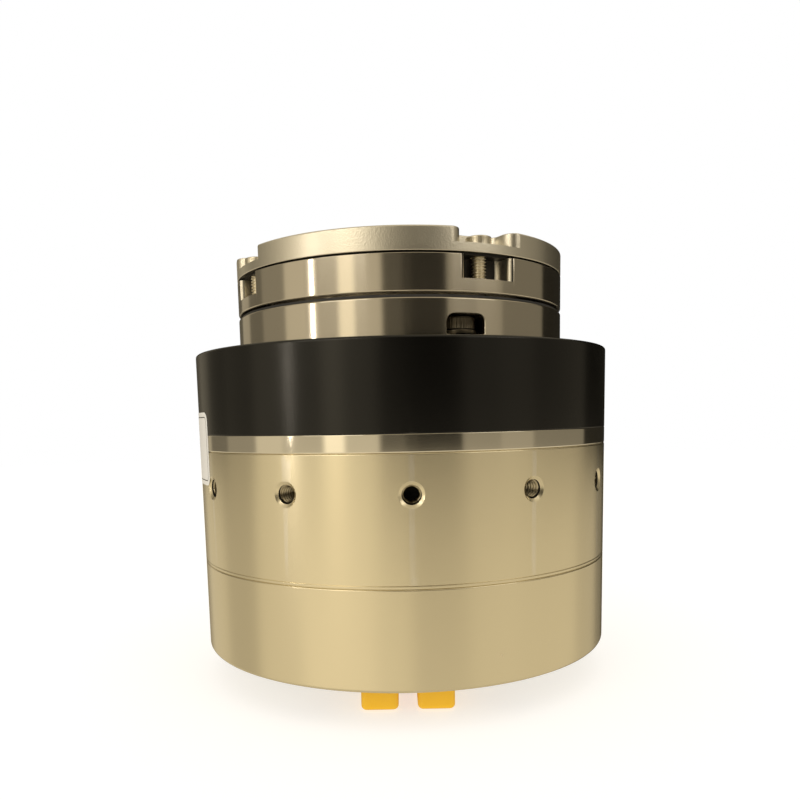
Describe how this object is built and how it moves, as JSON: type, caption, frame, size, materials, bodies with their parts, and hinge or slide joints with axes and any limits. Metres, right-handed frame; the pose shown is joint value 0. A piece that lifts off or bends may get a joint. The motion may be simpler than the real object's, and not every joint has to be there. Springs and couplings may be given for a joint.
{
  "type": "robot joint actuator",
  "caption": "Hollow-shaft robot joint actuator: a frameless motor and a strain-wave reducer turn an output flange, with side mounting holes and rear power sockets.",
  "frame": {"origin": "centre of the rear cover's flat rear face, on the axis of rotation", "axes": "+Z along the axis towards the output flange; -Y through one of the side mounting holes"},
  "size_m": [0.076, 0.076, 0.0758],
  "materials": {
    "satin_aluminium": "brushed and turned, satin",
    "bright_aluminium": "polished turning",
    "black_anodised": "semi-gloss black anodised aluminium",
    "blasted_aluminium": "bead-blasted",
    "ground_steel": "ground bearing steel",
    "black_steel": "black oxide steel fasteners",
    "bright_steel": "bright steel fasteners",
    "seal_rubber": "matt nitrile rubber",
    "copper": "enamelled copper",
    "lamination": "stacked electrical steel",
    "magnet_nickel": "nickel-plated magnets",
    "circuit_board": "green solder mask",
    "chip_black": "moulded epoxy",
    "capacitor_can": "plain can",
    "connector_yellow": "moulded nylon, bright yellow",
    "contact_gold": "gold-plated contacts"
  },
  "bodies": {
    "housing": {"rear_cover": "satin_aluminium", "rear_cover_screws": "black_steel", "motor_housing": "satin_aluminium", "front_end_plate": "bright_aluminium", "front_housing": "black_anodised", "housing_screws": "black_steel", "circular_spline": "ground_steel", "reducer_screws": "black_steel", "reducer_lock_washers": "ground_steel", "bearing_inner_ring": "ground_steel", "seal_ring": "seal_rubber", "stator_core": "lamination", "stator_coils": "copper", "phase_leads": "copper", "rear_bearing_outer": "ground_steel", "front_bearing_outer": "ground_steel", "driver_board": "circuit_board", "driver_board_standoffs": "contact_gold", "driver_board_screws": "bright_steel", "power_mosfets": "chip_black", "controller_chip": "chip_black", "bus_capacitors": "capacitor_can", "encoder_board": "circuit_board", "encoder_board_standoffs": "contact_gold", "encoder_board_screws": "bright_steel", "encoder_sensors": "chip_black", "power_connector_left": "connector_yellow", "power_connector_right": "connector_yellow", "connector_pins": "contact_gold"},
    "output": {"output_ring": "ground_steel", "output_plate": "blasted_aluminium", "flange_screws": "bright_steel", "flexspline": "ground_steel", "flexspline_clamp": "ground_steel", "flexspline_screws": "black_steel", "hollow_tube": "bright_aluminium", "output_encoder_magnet": "magnet_nickel", "crossed_rollers": "bright_steel"},
    "rotor": {"motor_shaft": "ground_steel", "rotor_hub": "ground_steel", "rotor_magnets": "magnet_nickel", "rotor_encoder_magnet": "magnet_nickel", "rear_bearing_inner": "ground_steel", "front_bearing_inner": "ground_steel", "wave_generator_spacer": "ground_steel", "wave_generator_cam": "ground_steel", "wave_generator_circlip": "black_steel", "wave_bearing_inner_race": "ground_steel", "wave_bearing_balls": "bright_steel", "wave_bearing_outer_race": "ground_steel", "rear_bearing_balls": "bright_steel", "front_bearing_balls": "bright_steel"}
  },
  "joints": [
    {"name": "output_turn", "type": "hinge", "parent": "housing", "child": "output", "pos_m": [0, 0, 0.063], "axis": [0, 0, 1], "continuous": true, "deforming": ["flexspline"]},
    {"name": "rotor_spin", "type": "hinge", "parent": "housing", "child": "rotor", "pos_m": [0, 0, 0.03], "axis": [0, 0, 1], "continuous": true}
  ],
  "couplings": [
    {"joint": "rotor_spin", "follows": "output_turn", "ratio": -80}
  ]
}
